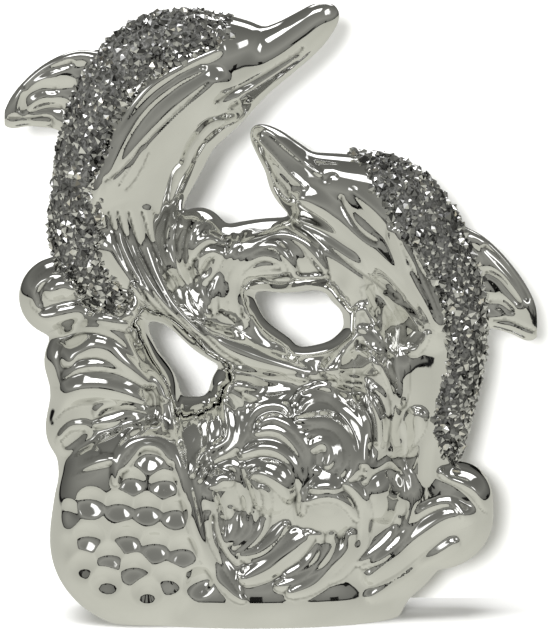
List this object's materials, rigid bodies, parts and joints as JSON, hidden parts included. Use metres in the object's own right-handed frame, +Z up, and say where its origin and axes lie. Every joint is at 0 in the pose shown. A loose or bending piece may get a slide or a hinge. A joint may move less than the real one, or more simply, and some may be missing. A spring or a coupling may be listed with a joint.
{
  "type": "dolphin pair ornament",
  "caption": "Silver-plated ceramic ornament of leaping dolphins on curling waves, with crushed stones glued along their backs; stands on its flat foot.",
  "frame": {"origin": "on the flat underside, below the middle of the figure", "axes": "+Z up, +X to the viewer's right, -Y towards the viewer who faces the front"},
  "size_m": [0.2246, 0.0883, 0.2594],
  "materials": {
    "silver_plate": "mirror-bright silver plating on glazed ceramic",
    "crushed_stones_left": "crushed faceted stones in dark grey glue",
    "crushed_stones_right": "crushed faceted stones in dark grey glue"
  },
  "bodies": {
    "root": {"figure": "silver_plate", "left_dolphin_stones": "crushed_stones_left", "right_dolphin_stones": "crushed_stones_right"}
  },
  "joints": []
}
